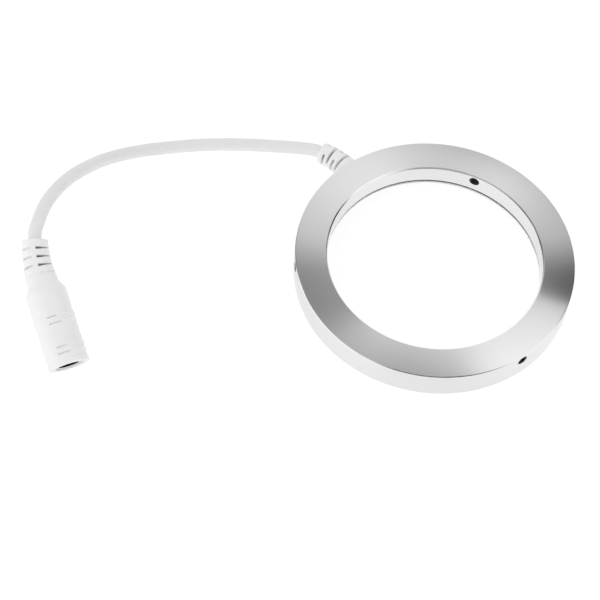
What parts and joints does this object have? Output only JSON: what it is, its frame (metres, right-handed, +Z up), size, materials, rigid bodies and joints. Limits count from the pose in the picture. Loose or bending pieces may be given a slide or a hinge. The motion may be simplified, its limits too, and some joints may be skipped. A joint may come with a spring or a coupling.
{
  "type": "microscope ring light",
  "caption": "Flat turned metal ring with lamps under a frosted cover, set screws that clamp it round a microscope's nose, and a short white lead ending in a female power connector.",
  "frame": {"origin": "centre of the ring, on the surface that it stands on", "axes": "+Z up along the ring's axis; the picture looks along +Y and down, and the lead leaves the ring at 130 degrees from +X and lies on the -X side"},
  "size_m": [0.1511, 0.0864, 0.0226],
  "materials": {
    "turned_aluminium": "fine-turned, bright, with concentric lines",
    "black_oxide_steel": "black oxide",
    "white_solder_mask": "satin",
    "led_phosphor": "satin resin in a white package",
    "resistor_ceramic": "matt with tinned ends",
    "frosted_acrylic": "frosted, translucent",
    "white_pvc": "moulded, soft sheen",
    "white_nylon": "moulded, satin",
    "nickel_plate": "plated",
    "solder": "bright tin",
    "red_wire": "extruded",
    "black_wire": "extruded"
  },
  "bodies": {
    "ring_light": {"ring_housing": "turned_aluminium", "led_board": "white_solder_mask", "diffuser_ring": "frosted_acrylic", "ring_strain_relief": "white_pvc", "led_01": "led_phosphor", "led_02": "led_phosphor", "led_03": "led_phosphor", "led_04": "led_phosphor", "led_05": "led_phosphor", "led_06": "led_phosphor", "led_07": "led_phosphor", "led_08": "led_phosphor", "led_09": "led_phosphor", "led_10": "led_phosphor", "led_11": "led_phosphor", "led_12": "led_phosphor", "led_13": "led_phosphor", "led_14": "led_phosphor", "led_15": "led_phosphor", "led_16": "led_phosphor", "led_17": "led_phosphor", "led_18": "led_phosphor", "led_19": "led_phosphor", "led_20": "led_phosphor", "led_21": "led_phosphor", "led_22": "led_phosphor", "led_23": "led_phosphor", "led_24": "led_phosphor", "resistor_1": "resistor_ceramic", "resistor_2": "resistor_ceramic", "resistor_3": "resistor_ceramic", "resistor_4": "resistor_ceramic", "resistor_5": "resistor_ceramic", "resistor_6": "resistor_ceramic", "resistor_7": "resistor_ceramic", "resistor_8": "resistor_ceramic", "wire_positive": "red_wire", "wire_negative": "black_wire", "solder_positive": "solder", "solder_negative": "solder", "cord": "white_pvc", "jack_body": "white_pvc", "jack_insulator": "white_nylon", "jack_pin": "nickel_plate", "jack_contact_spring": "nickel_plate"},
    "set_screw_1": {"grub_screw_1": "black_oxide_steel"},
    "set_screw_2": {"grub_screw_2": "black_oxide_steel"},
    "set_screw_3": {"grub_screw_3": "black_oxide_steel"}
  },
  "joints": [
    {"name": "screw_travel_1", "type": "slide", "parent": "ring_light", "child": "set_screw_1", "axis": [-0.342, -0.9397, 0], "range_m": [-0.0018, 0.0035]},
    {"name": "screw_travel_2", "type": "slide", "parent": "ring_light", "child": "set_screw_2", "axis": [0.9848, 0.1736, 0], "range_m": [-0.0018, 0.0035]},
    {"name": "screw_travel_3", "type": "slide", "parent": "ring_light", "child": "set_screw_3", "axis": [-0.6428, 0.766, 0], "range_m": [-0.0018, 0.0035]}
  ]
}
